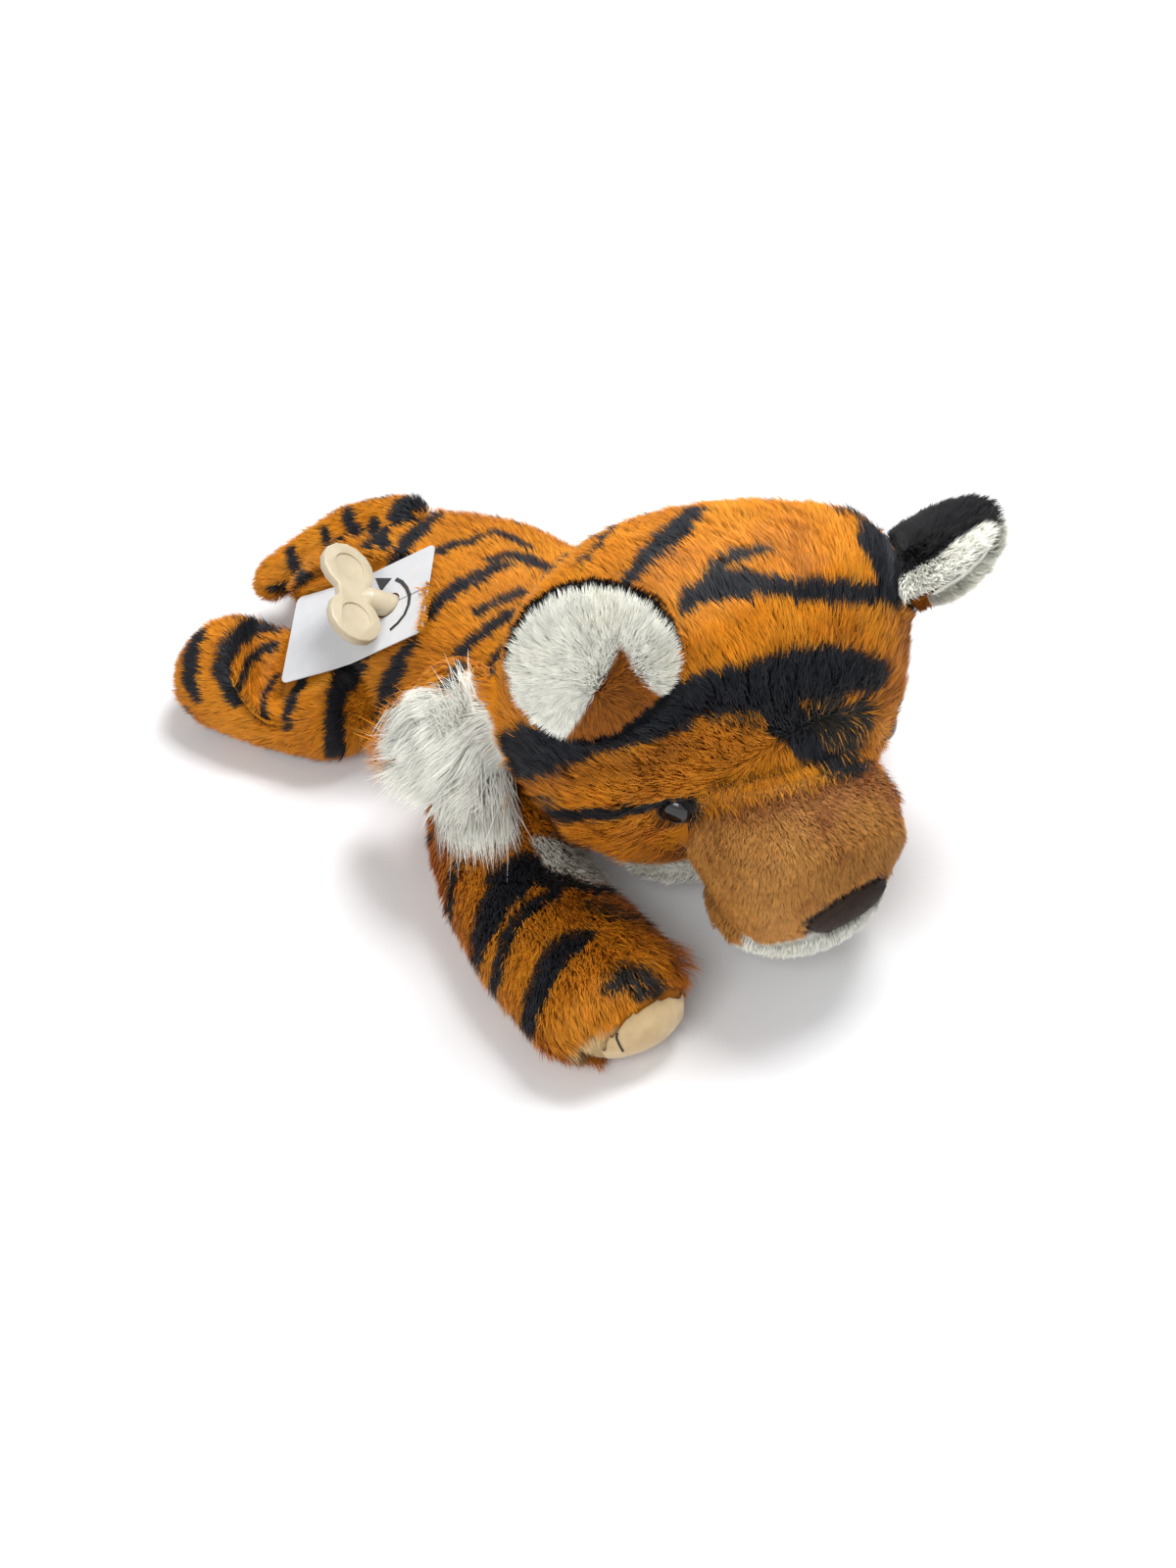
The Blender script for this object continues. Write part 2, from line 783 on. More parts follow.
@dataclass
class StuffedPiece:
    """A stuffed skin that stands for one CAD solid, with the pile that grows on it.

    Voxel is the size of the remeshed faces, fill says how tightly it is stuffed, and seed starts its random
    values. By place, sizes gives a share of the strands' length, and dent how deep the skin is sewn in. Room
    is the free way in front of each vertex.
    """

    node: str
    body: str
    pile: Pile
    coat: Coat
    flow: Flow
    voxel: float = 0.0022
    fill: float = 0.75
    seed: int = 1
    sizes: Optional[Shares] = None
    dent: Optional[Shares] = None
    room: Array = field(default_factory=lambda: np.zeros(0))
    most_room = 0.03
    near_reach = 0.012
    fold_start, fold_reach = 0.0025, 0.02
    under_slope = 0.25
    seat_room, open_room = 0.0006, 0.0050
    bare_room, grown_room = 0.0012, 0.0045
    skin_floor = 0.0004
    off_skin = 0.0002
    swirl_cell = 0.02
    room_share, least_length = 2.2, 0.002
    lean_spread = math.radians(7)
    most_gather = 0.9
    roll = 0.9
    shows_at = 0.45

    def make_skin(self, finish: bpy.types.Material) -> bpy.types.Object:
        """Remesh the solid's form, sink it below the pile's tips, and smooth it.

        Args:
            finish: Finish of the backing.

        Returns:
            The skin.
        """
        item = copy_of(self.node, f"{self.node}_skin")
        remesh = item.modifiers.new("remesh", "REMESH")
        remesh.mode = "VOXEL"
        remesh.voxel_size = self.voxel
        bpy.ops.object.modifier_apply(modifier="remesh")
        self.sink_skin(item.data)
        smooth = item.modifiers.new("smooth", "SMOOTH")
        smooth.factor, smooth.iterations = 0.5, 5
        bpy.ops.object.modifier_apply(modifier="smooth")
        bpy.ops.object.shade_smooth()
        item.data.materials.append(finish)
        return item

    def depth(self, room: Array) -> Array:
        """Return how deep the skin lies below the pile's tips, by the free room there."""
        return self.pile.sink * ramp(room, self.seat_room, self.open_room)

    def sink_skin(self, mesh: bpy.types.Mesh) -> None:
        """Sink each vertex by the pile's height where the coat lies open, and less in a seat."""
        places, normals = vertices_of(mesh)
        others = tree_of([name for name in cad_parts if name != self.node])
        own = tree_of([self.node])
        self.room = np.full(len(places), self.most_room)
        for k, (place, normal) in enumerate(zip(map(Vector, places), map(Vector, normals))):
            near = others.find_nearest(place, self.near_reach)[3]
            ahead = others.ray_cast(place + normal * self.off_skin, normal, self.most_room)[3]
            inner = own.ray_cast(place + normal * self.fold_start, normal, self.fold_reach)[3]
            under = normal.z < -self.under_slope
            floor = place.z / max(-normal.z, self.under_slope) if under else None
            gaps = [gap for gap in (near, ahead, inner, floor) if gap is not None]
            self.room[k] = min([*gaps, self.most_room])
        depth = self.depth(self.room)
        if self.dent is not None:
            depth += self.dent(places)
        sunk = places - normals * depth[:, None]
        sunk[:, 2] = np.maximum(sunk[:, 2], self.skin_floor)
        mesh.vertices.foreach_set("co", sunk.ravel())
        mesh.update()

    def roots(self, skin: bpy.types.Object, random: np.random.Generator) -> tuple[Array, Array, Array]:
        """Scatter the strands' roots over the open skin.

        Args:
            skin: The finished skin.
            random: Source of random values.

        Returns:
            Places, normals and free room of the roots.
        """
        mesh = skin.data
        mesh.calc_loop_triangles()
        places, normals = vertices_of(mesh)
        triangles = np.zeros(len(mesh.loop_triangles) * 3, int)
        mesh.loop_triangles.foreach_get("vertices", triangles)
        triangles = triangles.reshape(-1, 3)
        a, b, c = (places[triangles[:, k]] for k in range(3))
        area = np.linalg.norm(np.cross(b - a, c - a), axis=1) / 2
        open_share = ramp(self.room[triangles].mean(1), self.bare_room, self.grown_room)
        total = np.cumsum(area * open_share)
        pick = (np.arange(self.pile.count) + random.random(self.pile.count)) / self.pile.count
        chosen = np.searchsorted(total, pick * total[-1])
        u, v = random.random((2, self.pile.count))
        flip = u + v > 1
        u, v = np.where(flip, 1 - u, u), np.where(flip, 1 - v, v)
        weights = np.stack((1 - u - v, u, v), 1)[:, :, None]
        corners = triangles[chosen]
        root = (places[corners] * weights).sum(1)
        normal = unit((normals[corners] * weights).sum(1))
        room = (self.room[corners] * weights[:, :, 0]).sum(1)
        return root, normal, room

    def grow(self, skin: bpy.types.Object, finish: bpy.types.Material) -> list[bpy.types.Object]:
        """Grow the pile on the skin.

        Args:
            skin: The finished skin.
            finish: Finish of the fibre.

        Returns:
            The pieces of the pile, each small enough to be kept whole.
        """
        pile = self.pile
        random = np.random.default_rng(self.seed)
        root, normal, room = self.roots(skin, random)
        count = len(root)
        way = self.flow(root, normal)
        way = unit(way - normal * (way * normal).sum(1, keepdims=True))
        tuft = self.tufts(root, pile.tuft)
        tuft_count = tuft.max() + 1
        swirl = (Noise(self.seed + 5, self.swirl_cell).at(root) - 0.5) * 2 * pile.swirl
        swirl += (random.random(tuft_count)[tuft] - 0.5) * pile.stray * 1.6
        swirl += random.normal(0, pile.stray, count) * 0.5
        way = way * np.cos(swirl)[:, None] + np.cross(normal, way) * np.sin(swirl)[:, None]
        scale = 1 - pile.uneven + 2 * pile.uneven * random.random(count)
        scale *= 0.85 + 0.3 * random.random(tuft_count)[tuft]
        if self.sizes is not None:
            scale *= self.sizes(root)
        length = pile.length * scale
        length = np.minimum(length, np.maximum(room * self.room_share, self.least_length))[:, None]
        spread = random.normal(0, self.lean_spread, count)
        first = (pile.lean_root + spread)[:, None]
        last = (pile.lean_tip + spread)[:, None]
        middle = root + length * 0.5 * (normal * np.cos(first) + way * np.sin(first))
        tip = middle + length * 0.5 * (normal * np.cos(last) + way * np.sin(last))
        share = pile.gather * (0.6 + 0.8 * random.random(tuft_count)[tuft])[:, None]
        share = np.minimum(share, self.most_gather)
        tip += (self.mean(tip, tuft) - tip) * share
        middle += (self.mean(middle, tuft) - middle) * share * 0.4
        tip[:, 2] = np.maximum(tip[:, 2], FLOOR_GAP)
        middle[:, 2] = np.maximum(middle[:, 2], FLOOR_GAP)
        depth = self.depth(room)[:, None]
        colours = self.coat.colour(root + normal * depth + way * length * self.shows_at, random.random(count))
        colours = colours * (0.88 + 0.24 * random.random(tuft_count)[tuft])[:, None]
        along = unit(tip - root)
        side = unit(np.cross(along, normal))
        roll = random.uniform(-self.roll, self.roll, count)[:, None]
        side = side * np.cos(roll) + np.cross(along, side) * np.sin(roll)
        self.tint_skin(skin)
        pieces = []
        parts = max(1, math.ceil(count / MOST_STRANDS))
        for number in range(parts):
            cut = slice(count * number // parts, count * (number + 1) // parts)
            course = np.stack((root[cut] - normal[cut] * pile.bury, middle[cut], tip[cut]))
            pieces.append(strand_mesh(
                f"{self.node}_pile_{number + 1}", course, side[cut] * pile.width, normal[cut], colours[cut],
                pile.root_shade, finish,
            ))
        return pieces

    @staticmethod
    def tufts(root: Array, size: float) -> Array:
        """Number the tufts that the roots stand in."""
        bend = np.stack([Noise(k, size * 1.7).at(root) for k in (2, 3, 4)], 1) * size * 1.2
        cell = np.floor((root + bend) / size).astype(int)
        key = (cell[:, 0] * 73856093) ^ (cell[:, 1] * 19349663) ^ (cell[:, 2] * 83492791)
        return np.unique(key, return_inverse=True)[1].ravel()

    @staticmethod
    def mean(points: Array, tuft: Array) -> Array:
        """Return the middle of each point's tuft."""
        size = np.bincount(tuft)
        sums = np.stack([np.bincount(tuft, points[:, k]) for k in range(3)], 1)
        return (sums / size[:, None])[tuft]

    def tint_skin(self, skin: bpy.types.Object) -> None:
        """Dye the backing as the pile over it, but darker."""
        places, normals = vertices_of(skin.data)
        raised = places + normals * self.depth(self.room)[:, None]
        colours = self.coat.colour(raised, np.full(len(places), 0.5)) * self.pile.root_shade
        store_colours(skin.data, colours)

    def build(self, backing: bpy.types.Material, fibre: bpy.types.Material) -> list[bpy.types.Object]:
        """Make the skin and its pile, and hand both to the frame.

        Args:
            backing: Finish of the skin.
            fibre: Finish of the pile.

        Returns:
            The pieces made.
        """
        skin = self.make_skin(backing)
        pieces = self.grow(skin, fibre)
        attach(skin, self.body)
        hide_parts(self.node)
        for piece in pieces:
            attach(piece, self.body)
        strands = sum(len(piece.data.vertices) for piece in pieces) // 5
        LOG.info("%s: skin of %d faces, %d strands", self.node, len(skin.data.polygons), strands)
        return [skin, *pieces]


def store_colours(mesh: bpy.types.Mesh, colours: Array) -> None:
    """Keep a colour on each vertex."""
    layer = mesh.color_attributes.new("pile_colour", "FLOAT_COLOR", "POINT")
    full = np.ones((len(colours), 4), np.float32)
    full[:, :3] = colours
    layer.data.foreach_set("color", full.ravel())


def strand_mesh(name: str, course: Array, side: Array, normal: Array, colours: Array,
                root_shade: float, finish: bpy.types.Material) -> bpy.types.Object:
    """Make one mesh of bent, tapered blades, each with its own cell of the UV map.

    Args:
        name: Name of the piece.
        course: Roots, bends and tips of the strands.
        side: Widths of the strands, as ways across them.
        normal: Normals of the coat, which shade the strands as one soft surface.
        colours: Colours of the strands.
        root_shade: Share of the colour that the roots keep.
        finish: Finish of the fibre.

    Returns:
        The piece.
    """
    root, middle, tip = course
    count = len(root)
    places = np.stack((root - side / 2, root + side / 2, middle + side * 0.42, middle - side * 0.42, tip), 1)
    mesh = bpy.data.meshes.new(name)
    mesh.vertices.add(count * 5)
    mesh.vertices.foreach_set("co", places.astype(np.float32).ravel())
    first = np.arange(count)[:, None] * 5
    mesh.loops.add(count * 7)
    mesh.loops.foreach_set("vertex_index", (first + np.array([0, 1, 2, 3, 3, 2, 4])).ravel())
    mesh.polygons.add(count * 2)
    mesh.polygons.foreach_set("loop_start", (np.arange(count)[:, None] * 7 + np.array([0, 4])).ravel())
    mesh.update(calc_edges=True)
    mesh.validate()
    shades = np.array([root_shade, root_shade, 0.85, 0.85, 1.12])
    store_colours(mesh, (colours[:, None, :] * shades[None, :, None]).reshape(-1, 3))
    cells = math.ceil(math.sqrt(count))
    corner = np.stack((np.arange(count) % cells, np.arange(count) // cells), 1)[:, None, :] / cells
    spots = np.array([(0.1, 0.05), (0.9, 0.05), (0.9, 0.5), (0.1, 0.5), (0.1, 0.5), (0.9, 0.5), (0.5, 0.95)])
    layer = mesh.uv_layers.new(name="strands")
    layer.data.foreach_set("uv", (corner + spots[None] / cells).astype(np.float32).ravel())
    mesh.shade_smooth()
    lie = unit(np.cross(side, tip - root))
    lie *= np.sign((lie * normal).sum(1, keepdims=True))
    shading = unit(normal * 0.7 + lie * 0.3)
    mesh.normals_split_custom_set_from_vertices(np.repeat(shading, 5, axis=0))
    mesh.materials.append(finish)
    return add_item(name, mesh)


def mark(*numbers: float, ink: Ink = Ink.DARK, strength: float = 1.0, soft: float = 1.0,
         mirrored: bool = True) -> Stroke:
    """Return a stroke whose numbers go in threes: across, down and width."""
    path = tuple(zip(numbers[::3], numbers[1::3], numbers[2::3]))
    return Stroke(path, ink, strength, soft, mirrored)


BACK_STROKES = (
    mark(380, 660, 8, 364, 670, 12, 350, 688, 16, 343, 710, 17, 340, 745, 16, 343, 790, 18),
    mark(422, 652, 8, 408, 672, 13, 396, 695, 16, 389, 730, 15, 387, 790, 15),
    mark(470, 665, 14, 456, 684, 14, 440, 706, 13, 428, 728, 10, 420, 760, 10),
    mark(436, 628, 12, 448, 612, 16, 464, 600, 17, 482, 590, 16, 502, 580, 13, 522, 574, 9),
    mark(497, 570, 9, 515, 567, 14, 535, 569, 13, 552, 576, 12, 568, 586, 9),
    mark(446, 562, 11, 460, 556, 14, 478, 553, 12, 490, 546, 11, 505, 543, 12, 520, 548, 11, 540, 560, 8),
    mark(484, 625, 8, 497, 617, 11, 512, 611, 12, 534, 603, 8, strength=0.9),
    mark(474, 656, 9, 492, 645, 13, 508, 635, 14, 525, 625, 12, 542, 614, 8),
    mark(496, 684, 10, 508, 670, 14, 520, 655, 13, 532, 638, 10),
    mark(492, 521, 8, 506, 523, 12, 520, 530, 10, 532, 538, 6),
    mark(398, 582, 12, 408, 563, 16, 420, 547, 18, 434, 534, 15, 448, 523, 10),
    mark(402, 526, 14, 412, 515, 20, 424, 507, 20, 442, 508, 14, mirrored=False),
    mark(403, 535, 10, 414, 532, 13, 426, 534, 10, mirrored=False),
    mark(376, 556, 14, 384, 549, 16, 390, 538, 12, strength=0.9, mirrored=False),
    mark(345, 700, 14, 352, 690, 24, 362, 676, 24, strength=0.9, mirrored=False),
)
TAIL_STROKES = (
    mark(296, 564, 10, 300, 578, 12, 308, 594, 13),
    mark(330, 540, 9, 333, 551, 10, 338, 564, 9),
    mark(354, 524, 11, 358, 536, 12, 366, 548, 13),
    mark(381, 536, 12, 386, 550, 14, 394, 560, 10),
    mark(276, 604, 8, 292, 601, 12, 310, 594, 10, strength=0.8, soft=1.5),
)
HIND_STROKES = (
    mark(198, 712, 12, 193, 690, 18, 194, 665, 17, 203, 645, 15, 216, 632, 12, 232, 620, 8),
    mark(236, 716, 8, 228, 700, 12, 225, 685, 15, 227, 668, 17, 236, 652, 18, 252, 641, 17, 272, 636, 14,
         292, 635, 10),
    mark(247, 704, 5, 247, 688, 7, 254, 672, 8, 268, 662, 8, 284, 656, 7),
    mark(268, 735, 7, 269, 716, 9, 276, 700, 8, 284, 687, 7),
    mark(289, 742, 9, 295, 724, 13, 302, 706, 14, 311, 690, 13),
)
FORELEG_STROKES = (
    mark(466, 888, 9, 461, 910, 11, 461, 935, 11, 466, 958, 10),
    mark(538, 886, 30, 520, 902, 36, 506, 922, 32, 496, 944, 26, 489, 966, 19, 487, 990, 12),
    mark(538, 888, 30, 562, 892, 32, 592, 900, 28, 622, 910, 16, strength=0.9, soft=1.5),
    mark(566, 914, 12, 546, 924, 12, 530, 939, 13, 517, 958, 13, 510, 980, 12, 507, 1003, 12, 507, 1025,
         11, 512, 1046, 8),
    mark(604, 954, 11, 588, 961, 19, 572, 972, 23, 559, 990, 21, 550, 1010, 21, 543, 1032, 20, 539, 1055,
         19, 543, 1080, 14),
    mark(622, 1012, 16, 640, 1000, 28, 656, 1004, 32, 674, 1010, 20, strength=0.72, soft=2.6),
    mark(600, 926, 14, 622, 930, 22, 648, 937, 20, 676, 950, 12, strength=0.6, soft=1.8),
    mark(590, 1087, 14, 601, 1078, 28, 616, 1070, 38, 632, 1066, 38, ink=Ink.PAD, soft=0.7),
    mark(552, 862, 14, 576, 876, 34, 604, 888, 40, 636, 894, 36, 664, 893, 22, ink=Ink.WHITE, soft=0.8),
    mark(684, 968, 22, 698, 984, 26, 700, 1000, 16, ink=Ink.LONG),
    mark(548, 1074, 16, 562, 1084, 16, ink=Ink.LONG),
)
HEAD_STROKES = (
    mark(642, 590, 13, 656, 574, 18, 670, 560, 22, 684, 545, 25, 698, 531, 25, 712, 517, 20),
    mark(636, 530, 10, 620, 545, 11, 604, 562, 10, 590, 578, 8, strength=0.8),
    mark(698, 620, 11, 712, 605, 22, 730, 597, 28, 760, 594, 25, 790, 598, 22, 820, 600, 22, 850, 602, 22,
         882, 605, 22, 905, 606, 16),
    mark(722, 586, 9, 735, 575, 15, 750, 566, 17, 768, 562, 16, 787, 561, 9, strength=0.85),
    mark(690, 716, 28, 718, 712, 38, 750, 706, 42, 780, 700, 45, 810, 692, 45, 840, 687, 43, 870, 685, 38,
         902, 688, 30, soft=1.4),
    mark(786, 706, 36, 797, 724, 37, 808, 742, 33, 822, 758, 27, 842, 770, 20, 866, 777, 13, 894, 777, 8,
         soft=1.3),
    mark(716, 732, 12, 750, 735, 20, 780, 738, 22, strength=0.55, soft=2.2),
    mark(838, 728, 30, 856, 744, 50, 868, 752, 50, 884, 730, 40, strength=0.7, soft=2.0),
    mark(902, 546, 46, 906, 568, 60, 910, 590, 46, 914, 606, 26, mirrored=False),
    mark(504, 784, 24, 525, 771, 42, 550, 765, 42, 580, 757, 36, 610, 750, 33, 640, 744, 30, 668, 737, 29,
         695, 728, 30),
    mark(512, 806, 8, 528, 818, 13, 548, 827, 16, 575, 832, 17, 605, 832, 15, 635, 829, 14, 660, 826, 15,
         680, 822, 18, soft=1.3),
    mark(540, 812, 7, 556, 816, 10, 576, 818, 8, strength=0.8, soft=1.3),
    mark(676, 826, 22, 690, 824, 32, 702, 822, 22, strength=0.9, soft=1.4),
    mark(706, 818, 12, 716, 826, 8, strength=0.8, soft=1.4),
    mark(716, 816, 20, 760, 806, 24, 800, 794, 26, 840, 786, 26, 880, 776, 24, ink=Ink.LONG, soft=2.0),
    mark(610, 876, 9, 628, 882, 12, 646, 882, 9, strength=0.7, soft=1.6),
    mark(524, 800, 18, 570, 792, 20, 620, 784, 22, 668, 772, 20, 704, 758, 13, ink=Ink.RUST, strength=0.7,
         soft=3.0),
    mark(926, 640, 10, 930, 668, 14, 926, 700, 12, ink=Ink.RUST, strength=0.8, soft=2.0, mirrored=False),
)
NOSE_MARK = mark(826, 938, 14, 842, 931, 26, 860, 923, 32, 878, 912, 30, 893, 899, 16, ink=Ink.NOSE,
                 soft=0.8, mirrored=False)
LIP_STROKES = (
    mark(706, 884, 44, 720, 915, 46, 736, 942, 40, 748, 960, 16, ink=Ink.BROWN),
    NOSE_MARK,
    mark(836, 947, 10, 848, 944, 18, 866, 934, 20, 884, 919, 14, ink=Ink.NOSE, soft=0.8, mirrored=False),
)
MUZZLE_STROKES = (
    mark(702, 832, 14, 730, 824, 22, 765, 814, 30, 800, 804, 34, 840, 796, 34, 880, 788, 30, ink=Ink.UMBER,
         strength=0.8, soft=4.0),
    mark(903, 908, 18, 914, 896, 22, 922, 884, 12, ink=Ink.WHITE),
    NOSE_MARK,
)
RUFF_STROKES = (
    mark(472, 680, 8, 474, 704, 16, 470, 722, 22, 466, 738, 34, 460, 752, 60, 436, 774, 110, 436, 794, 118,
         448, 810, 104, 466, 824, 80, 475, 845, 70, 484, 866, 60, ink=Ink.WHITE),
)
FAR_EAR_STROKES = (
    mark(905, 618, 18, 930, 603, 28, 955, 588, 32, 980, 571, 32, 1003, 554, 32, 1018, 545, 24,
         ink=Ink.WHITE, soft=0.7, mirrored=False),
)


# Assemblies


BODY_PILE = Pile(0.0062, 110000, 0.0034, 0.00036, math.radians(24), math.radians(60), 0.0028, 0.12,
                 swirl=math.radians(18))


class Trunk:
    """Torso, legs and tail, with the marks that run over them."""

    spine_x = np.array((-0.0857, -0.0638, -0.0420, -0.0168, 0.0084, 0.0336, 0.0605, 0.0840))
    spine_y = np.array((-0.0360, -0.0240, -0.0120, 0.0010, 0.0085, 0.0075, 0.0100, 0.0110))

    def __init__(self, camera: PhotoCamera) -> None:
        """Lay the marks.

        Args:
            camera: The photograph's camera.
        """
        nodes = ["torso", "tail"]
        nodes += [f"{limb}_{side.value}" for limb in ("foreleg", "hind_leg") for side in Side]
        marks = Markings(camera, nodes)
        marks.lay(BACK_STROKES, self.over_spine)
        marks.lay(TAIL_STROKES, limb_mirror(TAIL, TAIL))
        marks.lay(HIND_STROKES, limb_mirror(HIND[Side.RIGHT], HIND[Side.LEFT]))
        marks.lay(FORELEG_STROKES, limb_mirror(FORELEG[Side.RIGHT], FORELEG[Side.LEFT]))
        marks.rings(Matrix.Translation((0, 0, 0.045)), (-0.078, -0.056, -0.034, -0.012, 0.010, 0.032), 0.0024)
        for limb, end in ((FORELEG, 0.12), (HIND, 0.06)):
            for side in Side:
                low = limb[side].matrix() @ Matrix.Translation((0, 0, 0.024))
                marks.rings(low, [end * share for share in (0.2, 0.45, 0.7, 0.92)], 0.0022)
        self.coat = Coat((DYES.orange, DYES.amber, DYES.rust), marks)

    def paw_sizes(self, points: Array) -> Array:
        """Return the share of the length by place: nap on the pad and longer tufts at the toes."""
        marks = self.coat.markings
        return (1 - 0.88 * marks.cover(points, Ink.PAD)) * (1 + 0.7 * marks.cover(points, Ink.LONG))

    def over_spine(self, place: Vector) -> Vector:
        """Mirror a place over the curved spine."""
        middle = float(np.interp(place.x, self.spine_x, self.spine_y))
        return Vector((place.x, 2 * middle - place.y, place.z))

    def torso_flow(self, points: Array, normals: Array) -> Array:
        """Lie of the torso's pile: along the spine towards the tail, and down the flanks."""
        ahead = np.interp(points[:, 0] + 0.01, self.spine_x, self.spine_y)
        behind = np.interp(points[:, 0] - 0.01, self.spine_x, self.spine_y)
        fall = -0.35 * (1 - np.clip(normals[:, 2], 0, 1))
        return np.stack((-np.ones(len(points)), (behind - ahead) / 0.02, fall), 1)

    def pieces(self) -> list[StuffedPiece]:
        """Return the stuffed pieces."""
        coat = self.coat
        out = [StuffedPiece("torso", "torso_body", BODY_PILE, coat, self.torso_flow, seed=3)]
        for side, count in ((Side.RIGHT, 60000), (Side.LEFT, 32000)):
            node = f"foreleg_{side.value}"
            pile = replace(BODY_PILE, length=0.0074, count=count, sink=0.0038)
            flow = FORELEG[side].flow(-0.25)
            out.append(StuffedPiece(node, f"{node}_body", pile, coat, flow, seed=4, sizes=self.paw_sizes))
        for side, count in ((Side.RIGHT, 39000), (Side.LEFT, 17000)):
            node = f"hind_leg_{side.value}"
            pile = replace(BODY_PILE, length=0.0060, count=count, sink=0.0032)
            out.append(StuffedPiece(node, f"{node}_body", pile, coat, HIND[side].flow(-0.2), seed=5))
        pile = replace(BODY_PILE, length=0.0056, count=20000, sink=0.0030)
        out.append(StuffedPiece("tail", "tail_body", pile, coat, TAIL.flow(-0.5), 0.0016, seed=6))
        return out


@dataclass(frozen=True)
class Limb:
    """Frame of a limb: its pivot, the way it points, and its length and height."""

    pivot: tuple[float, float, float]
    turn: float
    length: float
    height: float

    def matrix(self) -> Matrix:
        """Return the limb's frame."""
        return Matrix.Translation(self.pivot) @ Matrix.Rotation(self.turn, 4, "Z")

    def flow(self, fall: float) -> Flow:
        """Return the lie of its pile, towards its end.

        Args:
            fall: How much the pile falls as it goes.

        Returns:
            The flow.
        """
        way = np.array((math.cos(self.turn), math.sin(self.turn), fall))
        return lambda points, normals: np.tile(way, (len(points), 1))


FORELEG = {
    Side.RIGHT: Limb((0.060, -0.039, 0), math.radians(-20), 0.139, 0.048),
    Side.LEFT: Limb((0.060, 0.061, 0), math.radians(2), 0.116, 0.035),
}
HIND = {
    Side.RIGHT: Limb((-0.024, -0.059, 0), math.radians(207), 0.072, 0.046),
    Side.LEFT: Limb((-0.052, 0.020, 0), math.radians(205), 0.072, 0.030),
}
TAIL = Limb((-0.062, 0.010, 0.060), math.radians(226), 0.068, 0.028)


def limb_mirror(limb: Limb, other: Limb) -> Callable[[Vector], Optional[Vector]]:
    """Return what carries a place on one limb to the mirrored place on another."""
    def carry(place: Vector) -> Vector:
        """Mirror one place."""
        local = limb.matrix().inverted() @ place
        local = Vector((local.x * other.length / limb.length, -local.y, local.z * other.height / limb.height))
        return other.matrix() @ local
    return carry


@dataclass(frozen=True)
class Ear:
    """Frame of an ear: its root on the head, the way to its tip and the way its lining faces."""

    root: tuple[float, float, float]
    way: tuple[float, float, float]
    face: tuple[float, float, float]
    notch: float
    notch_top = 0.040
    notch_slope = 0.60
    middle = 0.022

    def axes(self) -> Array:
        """Return the ways along the ear, across it and out of its lining, one a column."""
        out = np.array(Vector(self.face).normalized())
        way = np.array(self.way) - out * np.dot(out, self.way)
        way /= np.linalg.norm(way)
        return np.stack((way, np.cross(out, way), out), 1)

    def to_local(self, points: Array) -> Array:
        """Return places as reach along the ear, across it and out of its lining."""
        return (points - np.array(HEAD.matrix() @ Vector(self.root))) @ self.axes()

    def inside(self, points: Array, soft: float) -> Array:
        """Return how far places lie inside the notch of the lining, from 0 to 1."""
        local = self.to_local(points)
        gap = (self.notch_top - local[:, 0]) * self.notch_slope - np.abs(local[:, 1] - self.notch)
        return ramp(gap, -soft, soft * 1.3)

    def flow(self, points: Array, normals: Array) -> Array:
        """Lie of the ear's pile: out from its middle towards its rim."""
        local = self.to_local(points)
        local[:, 0] -= self.middle
        local[:, 2] = 0
        return unit(local) @ self.axes().T


EARS = {
    Side.RIGHT: Ear((0.0165, -0.0747, 0.0297), (-0.28, 0.15, 0.95), (0.73, -0.61, 0.31), -0.0095),
    Side.LEFT: Ear((0.0035, 0.0460, 0.0310), (0.18, 0.895, 0.44), (0.53, 0.29, -0.81), 0.008),
}


class EarCoat(Coat):
    """White lining of an ear, with the orange fold in its notch."""

    def __init__(self, ear: Ear) -> None:
        """Keep the ear's frame."""
        super().__init__((DYES.white, DYES.white, DYES.cream))
        self.ear = ear

    def colour(self, points: Array, random: Array) -> Array:
        """Return the colour at each point, as in a plain coat."""
        colours = super().colour(points, random)
        inside = self.ear.inside(points, 0.001)[:, None]
        fold = linear(*DYES.rust) * (0.30 + 0.75 * random[:, None])
        return colours * (1 - inside) + fold * inside


